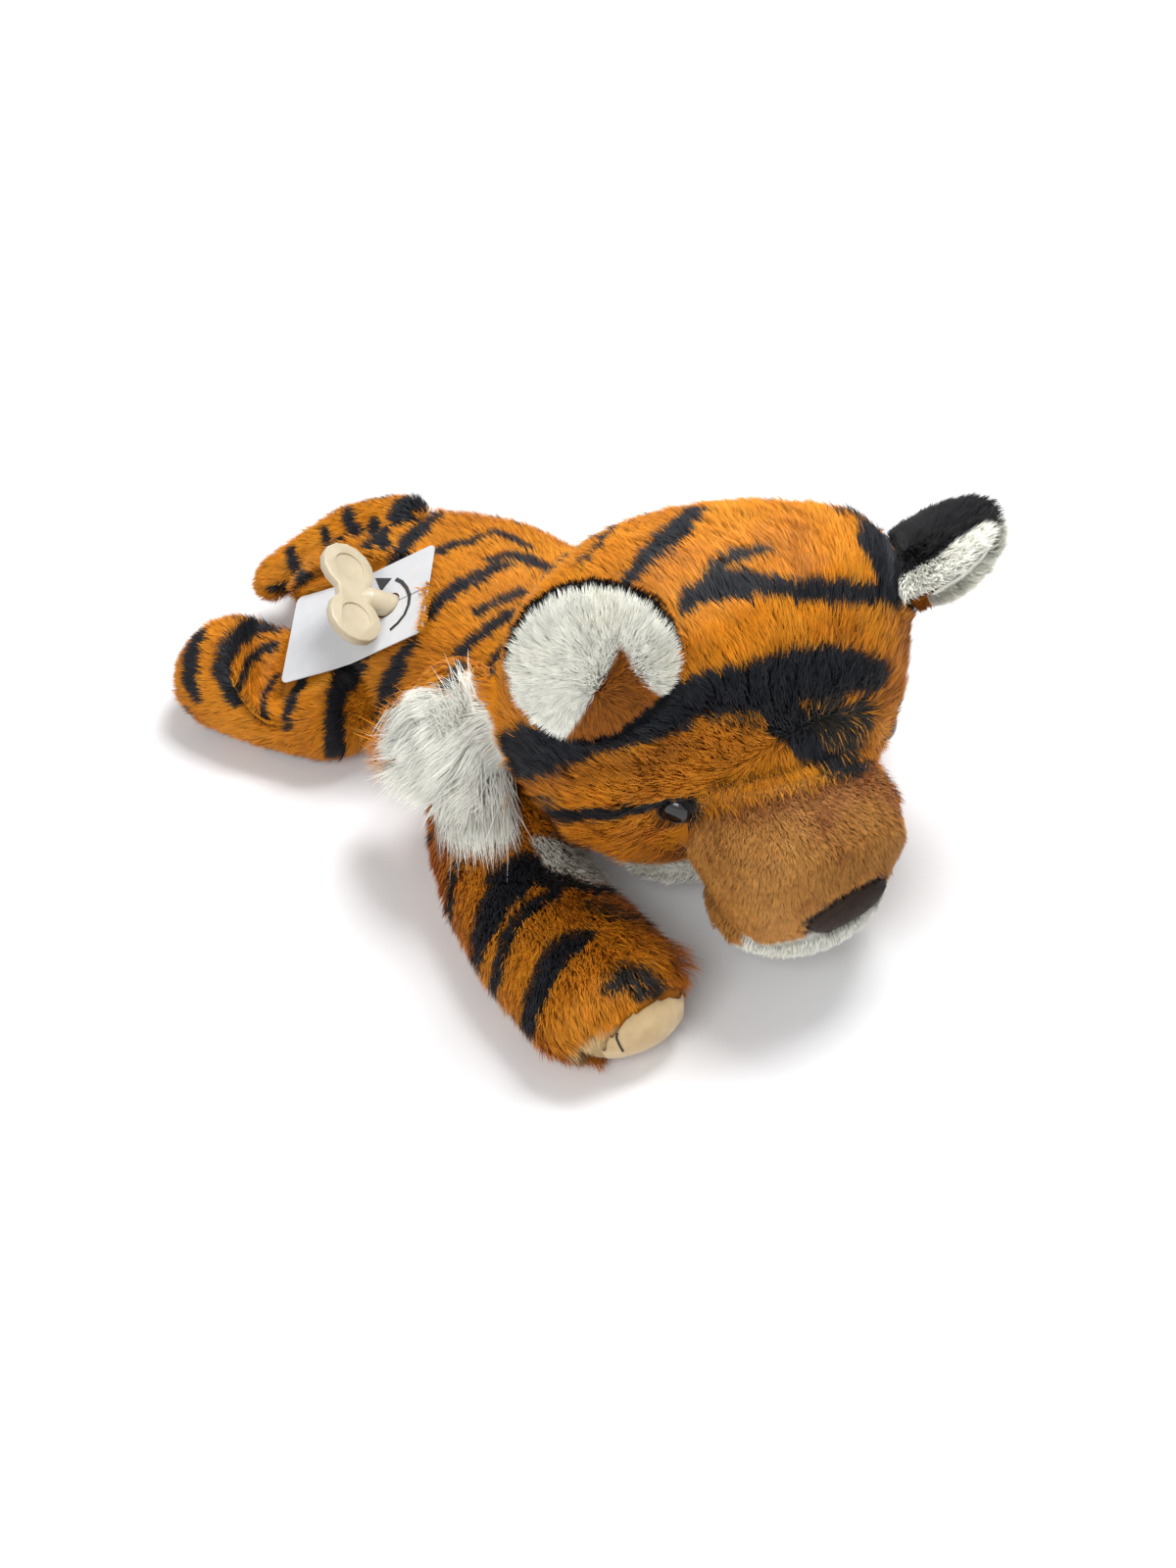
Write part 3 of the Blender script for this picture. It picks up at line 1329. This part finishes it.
class Head:
    """Head with its muzzle, ears, ruffs and nose."""

    def __init__(self, camera: PhotoCamera) -> None:
        """Lay the marks of the face.

        Args:
            camera: The photograph's camera.
        """
        marks = Markings(camera, ["head"])
        marks.lay(HEAD_STROKES, self.over_face)
        marks.rings(HEAD.matrix(), (-0.062, -0.042, -0.022), 0.0028)
        self.coat = Coat((DYES.orange, DYES.amber, DYES.rust), marks)
        self.lip_coat = self.marked(camera, ["chin_lip"], LIP_STROKES, DYES.white, DYES.white, DYES.cream)
        self.muzzle_coat = self.marked(camera, ["muzzle"], MUZZLE_STROKES, DYES.brown, DYES.tan, DYES.umber)
        self.far_ear_coat = self.marked(camera, ["ear_back_left"], FAR_EAR_STROKES, *[DYES.black] * 3)
        self.white_coat = Coat((DYES.white, DYES.white, DYES.cream))
        ruffs = [f"cheek_ruff_{side.value}" for side in Side]
        self.ruff_coat = self.marked(camera, ruffs, RUFF_STROKES, DYES.orange, DYES.amber, DYES.rust)
        self.ruff_coat.markings.lay(BACK_STROKES, None)

    def marked(self, camera: PhotoCamera, nodes: Sequence[str], strokes: Sequence[Stroke],
               *dyes: tuple[float, float, float]) -> Coat:
        """Return a coat with marks.

        Args:
            camera: The photograph's camera.
            nodes: CAD nodes that the strokes fall on.
            strokes: The marks.
            *dyes: Main dye, its paler sort and its deeper sort.

        Returns:
            The coat.
        """
        marks = Markings(camera, nodes)
        marks.lay(strokes, self.over_face)
        return Coat(dyes, marks)

    @staticmethod
    def over_face(place: Vector) -> Optional[Vector]:
        """Mirror a place of the right of the face to its left."""
        local = HEAD.matrix().inverted() @ place
        if local.y > -0.008:
            return None
        return HEAD.matrix() @ Vector((local.x, -local.y, local.z))

    @staticmethod
    def head_flow(points: Array, normals: Array) -> Array:
        """Lie of the head's pile: away from the nose, and over the edge of the muzzle."""
        local = HEAD.to_local(points)
        away = unit(local - np.array((0.075, 0.0, -0.02)))
        over = np.tile((0.6, 0.0, -0.7), (len(points), 1))
        near = ramp(local[:, 0], 0.034, 0.050)[:, None]
        return HEAD.to_world(away * (1 - near) + over * near)

    @staticmethod
    def local_flow(*way: float) -> Flow:
        """Return a lie that is one way in the head's frame."""
        return lambda points, normals: HEAD.to_world(np.tile(way, (len(points), 1)))

    def ruff_sizes(self, points: Array) -> Array:
        """Return the share of the length by place: short where a ruff is orange, long at its foot."""
        white = self.ruff_coat.markings.cover(points, Ink.WHITE)
        return (0.36 + 0.64 * white) * (0.55 + 0.75 * ramp(-HEAD.to_local(points)[:, 2], 0.020, 0.075))

    def brow_sizes(self, points: Array) -> Array:
        """Return the share of the length by place: longer where the brow hangs over the muzzle."""
        return 1 + 0.5 * self.coat.markings.cover(points, Ink.LONG)

    @staticmethod
    def ruff_flow(side: Side) -> Flow:
        """Return the lie of a ruff: out from the cheek, back and down."""
        middle = np.array((0.0, side.sign * 0.060, -0.020))
        drift = np.array((0.0, 0.0, -1.6))

        def flow(points: Array, normals: Array) -> Array:
            """Return the lie at places."""
            return HEAD.to_world(unit(HEAD.to_local(points) - middle) + drift)
        return flow

    def pieces(self) -> list[StuffedPiece]:
        """Return the stuffed pieces."""
        body = "head_body"
        out = [
            StuffedPiece(
                "head", body, Pile(0.0085, 122000, 0.0043, 0.00040, swirl=math.radians(20)), self.coat,
                self.head_flow, seed=11, sizes=self.brow_sizes,
            ),
            StuffedPiece(
                "muzzle", body,
                Pile(0.0032, 44000, 0.0016, 0.00031, tuft=0.0022, lean_root=0.4, lean_tip=0.9),
                self.muzzle_coat, self.local_flow(0.6, 0.0, -0.5), 0.0018, seed=12,
            ),
            StuffedPiece(
                "chin_lip", body, Pile(0.0036, 13000, 0.0016, 0.00033, tuft=0.003), self.lip_coat,
                self.local_flow(0.2, 0.0, -0.8), 0.0016, seed=13,
            ),
            StuffedPiece(
                "throat_panel", body, Pile(0.0045, 9000, 0.0020, tuft=0.004), self.white_coat,
                self.local_flow(-0.8, 0.0, -0.2), 0.0020, seed=14,
            ),
            StuffedPiece(
                "nose", body, Pile(0.0009, 9000, 0.0004, 0.00022, tuft=0.0012, gather=0.1),
                Coat((DYES.nose, DYES.nose, DYES.black)), self.local_flow(0.1, 0.0, -0.9), 0.0010, seed=15,
                dent=lambda points: np.full(len(points), -0.0006),
            ),
        ]
        for side in Side:
            ear = EARS[side]
            out.append(StuffedPiece(
                f"ear_lining_{side.value}", body,
                Pile(0.0058, 20000, 0.0022, 0.00032, math.radians(18), math.radians(56), 0.0024, 0.1,
                     root_shade=0.95),
                EarCoat(ear), ear.flow, 0.0015, seed=16,
                dent=lambda points, ear=ear: 0.0018 * ear.inside(points, 0.004),
            ))
            out.append(StuffedPiece(
                f"ear_back_{side.value}", body,
                Pile(0.0050, 13000, 0.0022, 0.00034, math.radians(24), math.radians(66), 0.003, 0.15),
                self.far_ear_coat, ear.flow, 0.0015, seed=17,
            ))
            long = 0.034 if side is Side.RIGHT else 0.022
            out.append(StuffedPiece(
                f"cheek_ruff_{side.value}", body,
                Pile(long, 19000, 0.0070, 0.00042, math.radians(44), math.radians(84), 0.0070, 0.5,
                     math.radians(20), math.radians(36), 0.35, 0.85),
                self.ruff_coat, self.ruff_flow(side), 0.0022, seed=18, sizes=self.ruff_sizes,
            ))
        return out


@dataclass(frozen=True)
class Fringe:
    """Longer fur that is combed from one piece over its neighbours, as the picture shows it.

    The line of its roots, its fall and the variations are in pixels of the picture.
    """

    name: str
    source: str
    over: tuple[str, ...]
    line: tuple[tuple[float, float], ...]
    band: tuple[float, float]
    fall: tuple[float, float]
    spread: tuple[float, float]
    count: int
    lift: float
    longest: float
    seed: int = 1
    shade: float = 0.9
    width = 0.00038
    bury = 0.001

    def build(self, camera: PhotoCamera, coat: Coat, fibre: bpy.types.Material) -> bpy.types.Object:
        """Comb the fur over.

        Args:
            camera: The photograph's camera.
            coat: Coat whose colours it takes.
            fibre: Finish of the fibre.

        Returns:
            The fur.
        """
        random = np.random.default_rng(self.seed)
        source, under = tree_of([self.source]), tree_of(self.over)
        rows = []
        for _ in range(self.count):
            place = random.random() * (len(self.line) - 1)
            low = int(place)
            a, b = np.array(self.line[low]), np.array(self.line[low + 1])
            start = a + (b - a) * (place - low) + random.normal(0, 1, 2) * self.band
            fall = np.array(self.fall) + random.normal(0, 1, 2) * self.spread
            fall *= random.uniform(0.5, 1.1)
            root = source.ray_cast(*camera.ray(*start))[0]
            eye, way = camera.ray(*(start + fall * 0.5))
            middle, face = under.ray_cast(eye, way)[:2]
            tip = under.ray_cast(*camera.ray(*(start + fall)))[0]
            if None in (root, middle, tip) or (tip - root).length > self.longest:
                continue
            rows.append((root + way * self.bury, middle - way * self.lift, tip - way * self.lift * 0.6, face))
        course = np.array([row[:3] for row in rows]).transpose(1, 0, 2)
        normal = np.array([row[3] for row in rows])
        side = unit(np.cross(course[2] - course[0], normal)) * self.width
        colours = coat.colour(course[0], random.random(len(rows)))
        colours = colours * random.uniform(self.shade, 1, (len(rows), 1))
        item = strand_mesh(self.name, course, side, normal, colours, 0.75, fibre)
        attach(item, "head_body")
        return item


FRINGES = (
    Fringe(
        "ruff_fringe", "cheek_ruff_right", ("cheek_ruff_right", "foreleg_right", "torso", "head"),
        ((436, 800), (455, 815), (475, 822), (500, 822), (515, 812)), band=(5, 12), fall=(2, 52),
        spread=(9, 12), count=4200, lift=0.0050, longest=0.060, seed=51,
    ),
    Fringe(
        "ruff_wisps", "cheek_ruff_right", ("cheek_ruff_right", "torso"),
        ((478, 705), (472, 722), (458, 742), (430, 760)), band=(5, 8), fall=(-14, -24),
        spread=(10, 12), count=240, lift=0.0055, longest=0.032, seed=52,
    ),
    Fringe(
        "brow_fringe", "head", ("muzzle", "head"),
        ((700, 826), (730, 808), (762, 800), (800, 792), (850, 778), (886, 770)), band=(3, 5), fall=(4, 14),
        spread=(6, 6), count=3000, lift=0.0030, longest=0.020, seed=53, shade=0.25,
    ),
)


class Eyes:
    """Domed glossy eyes on the face."""

    radius = 0.0062
    dome = 0.62
    ahead, across, centre, down = 0.038, 0.0455, -0.0035, -0.004
    turn = math.radians(52)
    tilt = 0.12
    back = -0.0002
    rim = 0.0004

    def place(self, side: Side) -> Matrix:
        """Return an eye's frame, with its third axis out of the face."""
        origin = HEAD.matrix() @ Vector((self.ahead, self.centre + side.sign * self.across, self.down))
        way = Vector((math.cos(self.turn), side.sign * math.sin(self.turn), self.tilt))
        out = HEAD.matrix().to_3x3() @ way
        third = out.normalized()
        first = (Vector((0, 0, 1)) - third * third.z).normalized()
        frame_of_eye = Matrix((first, third.cross(first), third)).transposed().to_4x4()
        return Matrix.Translation(origin) @ frame_of_eye

    def build(self, side: Side, finish: bpy.types.Material) -> bpy.types.Object:
        """Make one eye: a flattened dome with a rolled rim.

        Args:
            side: Side of the face.
            finish: Finish of the eye.

        Returns:
            The eye.
        """
        bpy.ops.object.select_all(action="DESELECT")
        bpy.ops.mesh.primitive_uv_sphere_add(segments=48, ring_count=24, radius=self.radius)
        item = bpy.context.object
        item.name = f"eye_dome_{side.value}"
        bpy.ops.object.mode_set(mode="EDIT")
        bpy.ops.mesh.select_all(action="SELECT")
        bpy.ops.mesh.bisect(plane_co=(0, 0, self.back), plane_no=(0, 0, 1), use_fill=True, clear_inner=True)
        bpy.ops.mesh.select_all(action="SELECT")
        bpy.ops.transform.resize(value=(1, 1, self.dome))
        bpy.ops.object.mode_set(mode="OBJECT")
        bevel = item.modifiers.new("rim", "BEVEL")
        bevel.width, bevel.segments, bevel.angle_limit = self.rim, 3, math.radians(50)
        bpy.ops.object.modifier_apply(modifier="rim")
        item.data.transform(self.place(side))
        bpy.ops.object.shade_smooth_by_angle(angle=math.radians(50))
        item.data.materials.append(finish)
        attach(item, "head_body")
        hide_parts(f"eye_{side.value}")
        return item


class Pads:
    """Suede pads of the forepaws, with a stitched line between two toes."""

    line = ((627, 1052), (629, 1059), (632, 1066), (636, 1073), (641, 1080))

    def __init__(self, camera: PhotoCamera) -> None:
        """Keep the camera through which the line is laid."""
        self.camera = camera

    def build(self, side: Side, suede: bpy.types.Material) -> bpy.types.Object:
        """Make one padded pad from its solid's form.

        Args:
            side: Side of the paw.
            suede: Finish of the pad.

        Returns:
            The pad.
        """
        node = f"paw_pad_{side.value}"
        piece = StuffedPiece(node, "", Pile(0.001, 1, 0.0), Coat((DYES.white,) * 3), lambda p, n: n, 0.0010)
        item = piece.make_skin(suede)
        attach(item, f"foreleg_{side.value}_body")
        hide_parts(node)
        self.toe_line(side, item, PlasticFinish("toe_thread", (44, 34, 26), (60, 46, 34), 0.8).build())
        return item

    def toe_line(self, side: Side, pad: bpy.types.Object, thread: bpy.types.Material) -> None:
        """Stitch the dark line between two toes.

        Args:
            side: Side of the paw.
            pad: Pad that the line lies on.
            thread: Finish of the thread.
        """
        tree = BVHTree.FromPolygons(*mesh_parts(pad.data))
        right = tree_of(["paw_pad_right"])
        carry = limb_mirror(FORELEG[Side.RIGHT], FORELEG[side]) if side is Side.LEFT else None
        spots, normals = [], []
        for x, y in self.line:
            spot = right.ray_cast(*self.camera.ray(x, y))[0]
            if spot is None:
                continue
            spot, normal = tree.find_nearest(carry(spot) if carry else spot)[:2]
            spots.append(spot)
            normals.append(normal)
        middle = sum(normals, Vector()).normalized()
        item = ribbon(f"toe_line_{side.value}", spots, middle, 0.0009, 0.0004, thread)
        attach(item, f"foreleg_{side.value}_body")


METALS = {
    "brass": ("spring_housing", "crown_wheel", "cylinder_pinion", "pinned_cylinder", "cylinder_gear",
              "comb_block", "near_bracket", "far_bracket", "governor_wheel"),
    "steel": ("bedplate", "mainspring", "comb", "winding_arbor", "governor_worm"),
}


def ribbon(name: str, spots: Sequence[Vector], normal: Vector, width: float, lift: float,
           finish: bpy.types.Material) -> bpy.types.Object:
    """Make a thin printed band through spots on a surface.

    Args:
        name: Name of the piece.
        spots: Places along the band.
        normal: Normal of the surface.
        width: Width of the band.
        lift: Height above the surface.
        finish: Finish of the ink.

    Returns:
        The band.
    """
    places, faces = [], []
    for number, spot in enumerate(spots):
        course = spots[min(number + 1, len(spots) - 1)] - spots[max(number - 1, 0)]
        side = normal.cross(course).normalized() * width / 2
        places += [spot + side + normal * lift, spot - side + normal * lift]
        if number:
            k = 2 * number
            faces.append((k - 2, k - 1, k + 1, k))
    return flat_piece(name, places, faces, finish)


@dataclass(frozen=True)
class Card:
    """Bare satin card under the key, whose free end stands off the back."""

    course: tuple[float, float, float] = (0.656, 0.548, 0.518)
    normal: tuple[float, float, float] = (-0.32, -0.52, 0.79)
    rise: float = 0.0055
    still: float = 0.001
    arc: tuple[tuple[float, float], ...] = (
        (404, 591), (410, 594), (415, 600), (418, 608), (417, 617), (413, 627), (406, 636), (398, 643),
    )
    barb: tuple[tuple[float, float], ...] = ((383, 590), (400, 590), (389, 604))
    edge: tuple[tuple[float, float], ...] = ((439, 596), (436, 612), (433, 628), (430, 645))
    slit: tuple[float, float] = (434, 603)
    half_length = 0.036
    bend_length = 0.035
    bend_power = 1.15
    bends = 8
    print_lift = 0.00012
    fur_count = 170
    fur_length = 0.0040
    fur_width = 0.00034
    fur_root = 0.0012
    fur_dip = 0.0004

    def sheet(self, finish: bpy.types.Material) -> bpy.types.Object:
        """Make the card from its solid: merge, divide and bend it."""
        item = copy_of("winding_card", "printed_card")
        bpy.ops.object.mode_set(mode="EDIT")
        for step in range(self.bends):
            reach = (step - self.bends / 2) / (self.bends / 2) * self.half_length
            spot = self.middle() + Vector(self.course).normalized() * reach
            bpy.ops.mesh.select_all(action="SELECT")
            bpy.ops.mesh.bisect(plane_co=spot, plane_no=self.course)
        bpy.ops.object.mode_set(mode="OBJECT")
        for vertex in item.data.vertices:
            reach = -(vertex.co - self.middle()).dot(Vector(self.course).normalized()) - self.still
            vertex.co.z += self.rise * (max(reach, 0.0) / self.bend_length) ** self.bend_power
        item.data.materials.append(finish)
        return item

    @staticmethod
    def middle() -> Vector:
        """Return the card's middle."""
        low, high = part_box("winding_card")
        return (Vector(low) + Vector(high)) / 2

    def build(self, camera: PhotoCamera, trunk: "Trunk", card: bpy.types.Material, ink: bpy.types.Material,
              fibre: bpy.types.Material) -> None:
        """Make the card, its winding arc and the fur over its edge.

        Args:
            camera: The photograph's camera.
            trunk: Trunk whose coat the fur takes.
            card: Finish of the card.
            ink: Finish of the print.
            fibre: Finish of the fur.
        """
        sheet = self.sheet(card)
        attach(sheet, "torso_body")
        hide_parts("winding_card")
        tree = BVHTree.FromPolygons(*mesh_parts(sheet.data))
        normal = Vector(self.normal).normalized()
        spots = [spot for x, y in self.arc if (spot := tree.ray_cast(*camera.ray(x, y))[0]) is not None]
        arc = ribbon("winding_arc", spots, normal, 0.0018, self.print_lift, ink)
        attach(arc, "torso_body")
        corners = [tree.ray_cast(*camera.ray(x, y))[0] for x, y in self.barb]
        if None not in corners:
            raised = [corner + normal * self.print_lift for corner in corners]
            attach(flat_piece("winding_barb", raised, [(0, 1, 2)], ink), "torso_body")
        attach(self.fringe(camera, trunk, tree, fibre), "torso_body")

    def fringe(self, camera: PhotoCamera, trunk: "Trunk", sheet: BVHTree,
               fibre: bpy.types.Material) -> bpy.types.Object:
        """Grow the fur that falls over the card's right edge and through its slit.

        Args:
            camera: The photograph's camera.
            trunk: Trunk whose coat the fur takes.
            sheet: The card's surface.
            fibre: Finish of the fur.

        Returns:
            The fur.
        """
        random = np.random.default_rng(31)
        ahead = -np.array(Vector(self.course).normalized())
        normal = np.array(Vector(self.normal).normalized())
        roots = []
        for number in range(self.fur_count):
            place = random.random() * (len(self.edge) - 1)
            low = int(place)
            a, b = self.edge[low], self.edge[low + 1]
            x = a[0] + (b[0] - a[0]) * (place - low) - random.uniform(0, 3)
            y = a[1] + (b[1] - a[1]) * (place - low)
            if number % 5 == 0:
                x, y = self.slit[0] + random.normal(0, 4), self.slit[1] + random.normal(0, 3)
            spot = sheet.ray_cast(*camera.ray(x, y))[0]
            if spot is not None:
                roots.append(spot)
        root = np.array(roots)
        count = len(root)
        normals = np.tile(normal, (count, 1))
        drift = unit(ahead[None] + random.normal(0, 0.7, (count, 3)))
        length = (random.uniform(0.2, 1.0, count) * self.fur_length)[:, None]
        start = root - ahead * self.fur_root - normals * self.fur_root
        middle = root + normals * self.fur_root
        tip = middle + drift * length - normals * self.fur_dip
        colours = trunk.coat.colour(root, random.random(count))
        side = unit(np.cross(tip - start, normals)) * self.fur_width
        return strand_mesh("card_fringe", np.stack((start, middle, tip)), side, normals, colours, 0.7, fibre)


class Key:
    """Moulded butterfly key with softened edges."""

    def build(self, finish: bpy.types.Material) -> bpy.types.Object:
        """Make the key from its solid, with rounded edges."""
        item = copy_of("wind_key", "butterfly_key")
        bpy.ops.object.mode_set(mode="EDIT")
        bpy.ops.mesh.select_all(action="SELECT")
        bpy.ops.mesh.dissolve_limited(angle_limit=math.radians(1))
        bpy.ops.object.mode_set(mode="OBJECT")
        bevel = item.modifiers.new("edges", "BEVEL")
        bevel.width, bevel.segments, bevel.angle_limit = 0.00022, 2, math.radians(35)
        bpy.ops.object.modifier_apply(modifier="edges")
        bpy.ops.object.shade_smooth_by_angle(angle=math.radians(40))
        item.data.materials.append(finish)
        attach(item, "key_body")
        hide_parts("wind_key")
        return item


class Movement:
    """Finishes of the case and the music movement."""

    def build(self) -> None:
        """Dress the hard nodes."""
        finishes = {
            "brass": MetalFinish("stamped_brass", (214, 178, 104)).build(),
            "steel": MetalFinish("polished_steel", (196, 198, 202), 0.26).build(),
        }
        for metal, nodes in METALS.items():
            for node in nodes:
                self.dress(node, finishes[metal])
        shell = PlasticFinish("case_plastic", (226, 226, 222), (236, 236, 233), 0.42).build()
        for node in ("case_cup", "case_lid"):
            self.dress(node, shell)
        washer = PlasticFinish("washer_plastic", (214, 214, 212), (226, 226, 224), 0.5).build()
        for side in Side:
            self.dress(f"eye_washer_{side.value}", washer)

    @staticmethod
    def dress(node: str, finish: bpy.types.Material) -> None:
        """Give a CAD node its finish."""
        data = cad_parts[node].data
        data.materials.clear()
        data.materials.append(finish)


def keep_sizes() -> None:
    """Write the model's box and the dressed toy's box beside each other."""
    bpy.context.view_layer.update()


def main() -> None:
    """Build the toy's looks in order."""
    logging.basicConfig(level=logging.INFO, format="%(message)s")
    camera = PhotoCamera()
    camera.build()
    Studio(Vector((0.06, 0.0, 0.0))).build()
    fibre = PileFinish("plush_fibre").build()
    backing = PileFinish("plush_backing", 0.8, 0.1, 0.1).build()
    trunk, head = Trunk(camera), Head(camera)
    for piece in [*trunk.pieces(), *head.pieces()]:
        piece.build(backing, fibre)
    for fringe in FRINGES:
        coat = head.coat if fringe.source == "head" else head.white_coat
        LOG.info("combed %s", fringe.build(camera, coat, fibre).name)
    glass = PlasticFinish("eye_gloss", (12, 12, 14), (18, 18, 20), 0.10, 0.15).build()
    suede = SuedeFinish("tan_suede", (214, 188, 144), (196, 166, 120)).build()
    for side in Side:
        LOG.info("made %s", Eyes().build(side, glass).name)
        LOG.info("made %s", Pads(camera).build(side, suede).name)
    card = PlasticFinish("satin_card", (208, 210, 213), (216, 217, 220), 0.42, 0.05).build()
    ink = PlasticFinish("black_print", (22, 22, 24), (34, 34, 36), 0.45).build()
    Card().build(camera, trunk, card, ink, fibre)
    cream = PlasticFinish("key_plastic", (190, 176, 147), (200, 188, 161), 0.40, 0.1).build()
    LOG.info("made %s", Key().build(cream).name)
    Movement().build()
    LOG.info("dressed the movement, key and card")
    keep_sizes()


if __name__ == "__main__":
    main()
